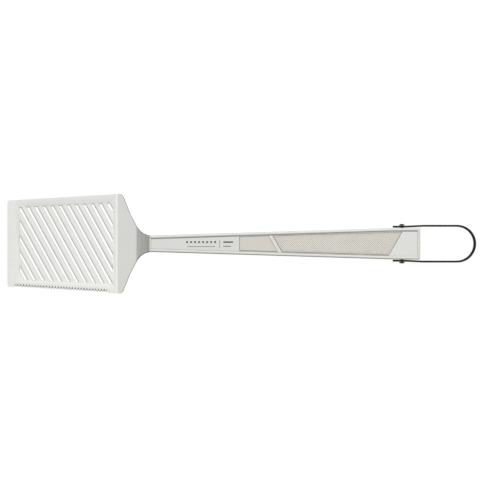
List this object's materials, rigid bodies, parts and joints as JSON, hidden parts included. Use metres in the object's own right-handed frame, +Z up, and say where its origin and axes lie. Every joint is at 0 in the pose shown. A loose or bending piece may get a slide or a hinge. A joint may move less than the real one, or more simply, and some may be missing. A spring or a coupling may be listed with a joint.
{
  "type": "grill spatula",
  "caption": "Long grill spatula: slotted steel blade with a serrated edge, hollow tapered steel handle with soft-grip inlays and a leather hanging loop.",
  "frame": {"origin": "on the floor under the middle of the bounding box, with the tool lying on the blade's heel and the handle's butt", "axes": "+X from the blade to the hanging loop, +Y to the tool's right side (the plain blade edge), +Z up"},
  "size_m": [0.469, 0.1002, 0.0257],
  "materials": {
    "brushed_steel": "fine brushed stainless steel",
    "soft_grip": "matt soft-touch, warm light grey",
    "core_nylon": "moulded, matt black",
    "dark_bronze": "dark bronze plating, satin",
    "strap_leather": "dark brown leather with burnished edges"
  },
  "bodies": {
    "spatula": {"blade": "brushed_steel", "handle_top_shell": "brushed_steel", "handle_bottom_shell": "brushed_steel", "handle_core": "core_nylon", "front_pad_upper": "soft_grip", "main_pad_upper": "soft_grip", "front_pad_lower": "soft_grip", "main_pad_lower": "soft_grip", "tang_rivet_1": "brushed_steel", "tang_rivet_2": "brushed_steel", "tang_rivet_3": "brushed_steel", "loop_bush": "brushed_steel", "loop_screw_left": "dark_bronze", "loop_screw_right": "dark_bronze", "loop_washer_left": "dark_bronze", "loop_washer_right": "dark_bronze"},
    "loop": {"hanging_strap": "strap_leather"}
  },
  "joints": [
    {"name": "loop_swing", "type": "hinge", "parent": "spatula", "child": "loop", "pos_m": [0.1602, 0, 0.00803], "axis": [0, 1, 0], "range_deg": [-165, 165]}
  ]
}
